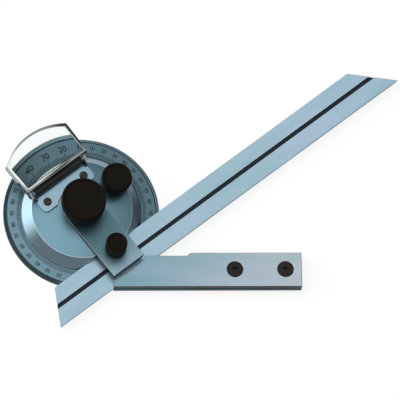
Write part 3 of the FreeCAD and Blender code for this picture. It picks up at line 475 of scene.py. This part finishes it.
def flat_marks(name, marks, width, level, body):
    """Thin flat bars as one mesh; each is (angle, inner radius, outer radius)."""
    mesh = bmesh.new()
    for angle, inner, outer in marks:
        way = Vector((math.cos(angle), math.sin(angle), 0))
        side = Vector((-way.y, way.x, 0)) * (width / 2)
        lift = Vector((0, 0, level))
        corners = [way * inner - side, way * outer - side, way * outer + side,
                   way * inner + side]
        mesh.faces.new([mesh.verts.new(corner + lift) for corner in corners])
    add_piece(name, mesh, engraving, body)


def flat_figures(name, figures, radius, size, level, body):
    """Figures round a circle with their tops outward, as one mesh; each is (word, angle)."""
    joined = bmesh.new()
    for word, angle in figures:
        text = bpy.data.curves.new(name, "FONT")
        text.body = word
        text.align_x = "CENTER"
        text.align_y = "CENTER"
        text.resolution_u = 4
        text.offset = figure_weight / size
        holder = bpy.data.objects.new(name + "_text", text)
        bpy.context.scene.collection.objects.link(holder)
        bpy.context.view_layer.update()
        drawn = bpy.data.meshes.new_from_object(
            holder.evaluated_get(bpy.context.evaluated_depsgraph_get()))
        middle = Vector((radius * math.cos(angle), radius * math.sin(angle), level))
        drawn.transform(Matrix.Translation(middle)
                        @ Matrix.Rotation(angle - math.pi / 2, 4, "Z") @ Matrix.Scale(size, 4))
        joined.from_mesh(drawn)
        bpy.data.objects.remove(holder)
        bpy.data.curves.remove(text)
        bpy.data.meshes.remove(drawn)
    add_piece(name, joined, engraving, body)


degree_marks = []
for degree in range(360):
    step = next(step for step in (10, 5, 1) if degree % step == 0)
    degree_marks.append((math.radians(degree), mark_root, mark_root + mark_length[step]))
flat_marks("degree_marks", degree_marks, mark_width, ring_top + mark_lift, "base")
figures = []
for degree in range(0, 360, 10):
    from_zero = abs((degree - zero_direction + 180) % 360 - 180)
    figures.append((str(min(from_zero, 180 - from_zero)), math.radians(degree)))
flat_figures("degree_figures", figures, figure_radius, figure_size, ring_top + mark_lift, "base")

# Stock. Ground steel front plate and spacer bar, held to the dial body's rear plate by two black
# countersunk socket screws. The blade swings in the slot that the spacer leaves.
# The stock is painted paler towards its far end, as painted light; its upright faces have painted
# shade and its edges a painted highlight.
stock_colour = (0.25, 0.41, 0.49)
stock_painted_light_colour = (0.50, 0.56, 0.62)
stock_light_from, stock_light_to = 10 * MM, 110 * MM
screw_colour = (0.020, 0.017, 0.015)
screw_rounding = 0.08 * MM


def blackened(name, colour, roughness):
    """Blackened steel with a faint oily unevenness."""
    finish = Finish(bpy.data.materials.new(name))
    cloud = finish.noise(finish.spot(), scale=700.0, detail=3.0)
    dark = tuple(channel * 0.6 for channel in colour)
    return finish.surface(Base_Color=finish.blend(cloud, dark, colour), Metallic=0.7,
                          Normal=finish.rounded(screw_rounding),
                          Roughness=varied(roughness, (cloud, 0.2)))


stock_steel = satin("stock_steel", stock_colour, roughness=0.38, lines=0.75, along=0.0,
                    painted_gradient=(stock_painted_light_colour, stock_light_from, stock_light_to),
                    side_shade_below=0.8, edge_highlight=0.6)
dress(stock_steel, "stock_front", "stock_spacer")
black_steel = blackened("black_steel", screw_colour, roughness=0.4)
dress(black_steel, "stock_screw_1", "stock_screw_2")

# Spindle and fixed gear. Turned steel stud through the middle of the dial, with the gear that
# the fine adjustment rolls on pressed on its journal, out of sight inside the turret.
bright_colour = (0.55, 0.57, 0.58)
bright_steel = satin("bright_steel", bright_colour, roughness=0.3, lines=0.6)
dress(bright_steel, "spindle", "fixed_gear")

# Turret hub. Low steel cone, turned all over and then milled straight for the blade; satin top,
# smoother cone painted paler as a painted sheen, and a painted highlight along its edges. It
# turns on the spindle in the dial's recess.
hub_colour = (0.18, 0.325, 0.40)
hub_cone_sheen_colour = (0.30, 0.43, 0.51)
hub_steel = satin("hub_steel", hub_colour, roughness=0.36, lines=0.35, crown=9.0,
                  slope_sheen_colour=hub_cone_sheen_colour, slope_gloss=0.12, slope_lift=0.35, edge_highlight=1.0)
dress(hub_steel, "turret_hub")

# Vernier plate. Thin bright steel plate let into the turret's foot under the magnifier, with
# twelve five minute divisions engraved on each side of its zero.
vernier_colour = (0.80, 0.83, 0.84)
vernier_divisions = 12
vernier_half_span = math.radians(23.0)
vernier_step = vernier_half_span / vernier_divisions
vernier_outer = 28.2 * MM
vernier_short, vernier_long, vernier_zero = 0.7 * MM, 1.0 * MM, 1.3 * MM
vernier_mark_width = 0.12 * MM
vernier_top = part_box("vernier_plate")[1].z
slide = next(joint for joint in frame["joints"] if joint["name"] == "blade_slide")
blade_turn = math.atan2(slide["axis"][1], slide["axis"][0])
vernier_middle = blade_turn + math.pi / 2

vernier_steel = satin("vernier_steel", vernier_colour, roughness=0.45, lines=0.4)
dress(vernier_steel, "vernier_plate")
vernier_marks = []
for division in range(-vernier_divisions, vernier_divisions + 1):
    length = vernier_long if division % 3 == 0 else vernier_short
    if division == 0:
        length = vernier_zero
    vernier_marks.append((vernier_middle + division * vernier_step, vernier_outer - length,
                          vernier_outer))
flat_marks("vernier_marks", vernier_marks, vernier_mark_width, vernier_top + mark_lift, "turret")

# Arm. Flat steel arm from the spindle out over the blade, ground along its length. Two small
# screws, hidden under the centre knob, hold it on the turret; the knob's steel washer lies on it.
# The arm is painted dark near the spindle, as painted shade under the centre knob, and paler
# towards its end; its upright faces have painted shade and its edges a painted highlight.
arm_shaded_colour = (0.10, 0.19, 0.22)
arm_end_colour = (0.32, 0.46, 0.53)
arm_shade_fades_from, arm_shade_fades_to = 17 * MM, 40 * MM
arm_steel = satin("arm_steel", arm_shaded_colour, roughness=0.38, lines=0.5,
                  along=blade_turn - math.pi / 2,
                  painted_gradient=(arm_end_colour, arm_shade_fades_from, arm_shade_fades_to),
                  side_shade_below=upright_rise, edge_highlight=0.5)
dress(arm_steel, "blade_arm")
dress(black_steel, "arm_screw_1", "arm_screw_2")
dress(bright_steel, "clamp_washer")

# Centre clamp knob. Moulded plastic knob with a fluted rim and a sunk face, on a threaded brass
# insert; it screws down on the spindle and locks the turret.
knob_colour = (0.007, 0.0055, 0.004)
skin_scale, skin_strength, skin_depth = 1800.0, 0.25, 0.03 * MM
moulded_rounding = 0.15 * MM
brass_colours = (0.55, 0.38, 0.15), (0.68, 0.50, 0.24)


def moulded(name, colour, roughness, shine):
    """Moulded plastic, nearly black, with a fine leathery skin."""
    finish = Finish(bpy.data.materials.new(name))
    skin = finish.noise(finish.spot(), skin_scale, detail=3.0, roughness=0.6)
    cloud = finish.noise(finish.spot(), scale=160.0)
    dark = tuple(channel * 0.7 for channel in colour)
    leathery = finish.relief(skin, finish.rounded(moulded_rounding), skin_strength, skin_depth)
    return finish.surface(Base_Color=finish.blend(cloud, dark, colour), Normal=leathery,
                          Specular_IOR_Level=shine,
                          Roughness=varied(roughness, (cloud, 0.15), (skin, 0.1)))


knob_plastic = moulded("knob_plastic", knob_colour, roughness=0.455, shine=0.06)
finish = Finish(bpy.data.materials.new("turned_brass"))
cloud = finish.noise(finish.spot(), scale=400.0, detail=3.0)
turned_brass = finish.surface(Base_Color=finish.blend(cloud, *brass_colours), Metallic=1.0,
                              Roughness=varied(0.325, (cloud, 0.15)))
dress(knob_plastic, "clamp_knob")
dress(turned_brass, "clamp_insert")

# Fine adjustment. Small moulded knob on the steel shaft of the pinion, which runs in a brass
# bush in the turret and rolls on the fixed gear.
dress(knob_plastic, "fine_knob")
dress(bright_steel, "pinion_shaft")
dress(turned_brass, "pinion_bush")

# Blade clamp. The smallest knob, moulded on a steel screw that goes through the arm and presses
# the steel shoe down on the blade.
dress(knob_plastic, "lock_knob")
dress(bright_steel, "lock_screw", "clamp_shoe")

# Blade. Hardened steel strip ground along its length, with a groove painted dark as shade, and
# painted shade on its upright faces. Its ends are cut to 60 and 45 degrees.
blade_colour = (0.40, 0.56, 0.66)
groove_shade_colour = (0.035, 0.05, 0.06)
groove_middle = 29.7 * MM
groove_half_width = 1.03 * MM
groove_lip = 0.02 * MM
groove_roughness = 0.2
blade_side_shade_depth = 0.7
blade_along, blade_across = 45.0, 3800.0
blade_rounding = 0.1 * MM
blade_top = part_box("blade")[1].z
cosine, sine = math.cos(blade_turn), math.sin(blade_turn)

finish = Finish(bpy.data.materials.new("blade_steel"))
spot = finish.spot()
x, y, z = finish.parts(spot)
way = x * cosine + y * sine
over = x * sine - y * cosine
ground = finish.noise(finish.vector(way * blade_along, over * blade_across, z * blade_across),
                      detail=3.0)
cloud = finish.noise(spot, scale=60.0, detail=3.0)
in_groove = ((over - groove_middle).size().below(groove_half_width)
             * z.below(blade_top - groove_lip))
upright = rise_of(finish).below(upright_rise)
# Painted shade on the upright faces.
tone = varied(1.0, (cloud, 0.12), (ground, 0.2)) * (1.0 - upright * blade_side_shade_depth)
outside = finish.shaded(mottled(finish, blade_colour, way, over), tone)
blade_steel = finish.surface(
    Base_Color=finish.blend(in_groove, outside, groove_shade_colour), Metallic=1.0,
    Normal=finish.relief(ground, finish.rounded(blade_rounding)),
    Roughness=varied(0.39, (ground, 0.1), (cloud, 0.08)) + in_groove * groove_roughness)
dress(blade_steel, "blade")

# Magnifier bracket. Bright sheet steel with two lobes screwed to the turret by dark pan head
# screws, and two upturned ears for the hinge pin, which has a dark sleeve round it.
# The bracket is painted darker along the blade's way, as painted shade; its upright faces have
# painted shade too.
bracket_colour = (0.29, 0.43, 0.51)
bracket_shaded_colour = (0.21, 0.35, 0.42)
bracket_shade_from, bracket_shade_to = 6 * MM, 17 * MM
browned_colour = (0.05, 0.043, 0.04)
sleeve_colour = (0.036, 0.040, 0.036)
bracket_steel = satin("bracket_steel", bracket_colour, roughness=0.30, lines=0.6,
                      along=blade_turn, side_shade_below=upright_rise,
                      painted_gradient=(bracket_shaded_colour, bracket_shade_from, bracket_shade_to))
dress(bracket_steel, "magnifier_bracket")
browned_steel = blackened("browned_steel", browned_colour, roughness=0.3)
dress(browned_steel, "bracket_screw_1", "bracket_screw_2", "hinge_pin")
sleeve_plastic = moulded("sleeve_plastic", sleeve_colour, roughness=0.305, shine=0.35)
dress(sleeve_plastic, "hinge_sleeve")

# Magnifier frame. Chromed steel frame round the lens, hinged so that it folds up off the dial,
# with rounded, mirror bright edges and painted shade on its upright sides. The shading of its
# top is crowned, as polishing leaves it.
chrome_tints = (0.66, 0.70, 0.72), (0.76, 0.80, 0.82)
# Painted shade on the frame's upright sides.
chrome_side_shade = (0.16, 0.18, 0.19)
frame_middle = 30.0 * MM
frame_edge_width = 0.6 * MM
frame_lean_across, frame_lean_out = 20.6, 35.0
frame_edge_share = 0.25
side_ends, top_starts = 0.2, 0.6

finish = Finish(bpy.data.materials.new("chrome"))
spot = finish.spot()
x, y, z = finish.parts(spot)
haze = finish.noise(spot, scale=500.0)
facing = finish.turn(finish.rounded(frame_edge_width, samples=8), "NORMAL", "WORLD", "OBJECT")
bend_x, bend_y, bend_z = finish.parts(facing)
across = (x * cosine + y * sine) * frame_lean_across
out = (y * cosine - x * sine - frame_middle) * frame_lean_out
crowned = finish.vector(bend_x * frame_edge_share + across * cosine - out * sine,
                        bend_y * frame_edge_share + across * sine + out * cosine, 1.0)
on_top = finish.smooth(bend_z, side_ends, top_starts)
facing = finish.vector_maths("NORMALIZE", finish.blend_vectors(on_top, facing, crowned))
upright = rise_of(finish).below(upright_rise)
tint = finish.blend(upright, finish.blend(haze, *chrome_tints), chrome_side_shade)
chrome = finish.surface(Base_Color=tint, Metallic=1.0,
                        Normal=finish.turn(facing, "NORMAL", "OBJECT", "WORLD"),
                        Roughness=varied(0.09, (haze, 0.06)))
dress(chrome, "lens_frame")

# Lens. Thick glass, convex on both faces, ground to the frame's opening and blackened on its
# edge. Smooth faces stand in for the CAD node's facets, so that the scale reads through it; the
# shading has a power of its own, set so that the figures stand as in the photograph.
lens_curve = 55.0 * MM
lens_half_thickness = 3.8 * MM
lens_level = 15.5 * MM
lens_centre = 30.4 * MM
near_side, near_half, shoulder_half = 20.9 * MM, 16.0 * MM, 16.4 * MM
round_centre, round_radius = 11.524 * MM, 28.5 * MM
lens_play = 0.03 * MM
columns, rows = 44, 32
glass_tints = (0.93, 0.985, 0.98), (0.95, 0.995, 0.99)
edge_tints = (0.004, 0.005, 0.005), (0.008, 0.009, 0.009)
glass_index = 1.79
glass_glint = (0.1, 0.1, 0.1)
edge_rise = 0.3
lens_power_curve = 31.0 * MM
lens_edge_flatness = 600.0
lens_axis_shift = 2.3 * MM


def lens_point(part, share, side):
    """A point of the upper (1) or the lower (-1) face. Part goes from -1 to 1 across the lens,
    share from 0 at its straight near edge to 1 at its round far edge."""
    far = round_centre + math.sqrt((round_radius - lens_play) ** 2 - (part * shoulder_half) ** 2)
    near = near_side + lens_play
    across = part * (near_half + (shoulder_half - near_half) * share - lens_play)
    out = near + (far - near) * share
    sag = lens_curve - math.sqrt(lens_curve ** 2 - across ** 2 - (out - lens_centre) ** 2)
    return (across * cosine - out * sine, across * sine + out * cosine,
            lens_level + side * (lens_half_thickness - sag))


mesh = bmesh.new()
borders = []
for side in (1, -1):
    grid = [[mesh.verts.new(lens_point(2.0 * column / columns - 1.0, row / rows, side))
             for column in range(columns + 1)] for row in range(rows + 1)]
    for low, high in zip(grid, grid[1:]):
        for column in range(columns):
            corners = [low[column], low[column + 1], high[column + 1], high[column]]
            mesh.faces.new(corners[::side]).smooth = True
    borders.append(grid[0] + [line[-1] for line in grid[1:]] + grid[-1][-2::-1]
                   + [line[0] for line in grid[-2:0:-1]])
top, bottom = borders
for here in range(len(top)):
    ahead = (here + 1) % len(top)
    mesh.faces.new([top[here], bottom[here], bottom[ahead], top[ahead]])

finish = Finish(bpy.data.materials.new("lens_glass"))
spot = finish.spot()
x, y, z = finish.parts(spot)
smear = finish.noise(spot, scale=120.0)
across = x + lens_centre * sine - lens_axis_shift * cosine
out = y - lens_centre * cosine - lens_axis_shift * sine
spread = across * across + out * out
flatter = 1.0 - spread * lens_edge_flatness
height = (lens_power_curve ** 2 - spread) ** 0.5
upper = finish.vector(across * flatter, out * flatter, height)
curved = finish.blend_vectors(z.below(lens_level), upper, (0.0, 0.0, -1.0))
outward = 1.0 - finish.node("NewGeometry", output="Backfacing") * 2.0
curved = finish.vector_maths("MULTIPLY", curved, finish.vector(outward, outward, outward))
curved = finish.turn(finish.vector_maths("NORMALIZE", curved), "NORMAL", "OBJECT", "WORLD")
glass = finish.node("BsdfPrincipled", inputs={
    "Base Color": finish.blend(smear, *glass_tints), "Roughness": 0.0, "IOR": glass_index,
    "Transmission Weight": 1.0, "Normal": curved, "Specular Tint": glass_glint})
black = finish.node("BsdfPrincipled", inputs={
    "Base Color": finish.blend(smear, *edge_tints), "Roughness": 0.6,
    "Specular IOR Level": 0.1})
on_edge = finish.parts(finish.node("TexCoord", output="Normal"))[2].size().below(edge_rise)
finish.output(finish.node("MixShader", inputs={0: on_edge, 1: glass, 2: black}))
lens = add_piece("magnifier_lens", mesh, finish.owner, "magnifier")
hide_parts("lens")
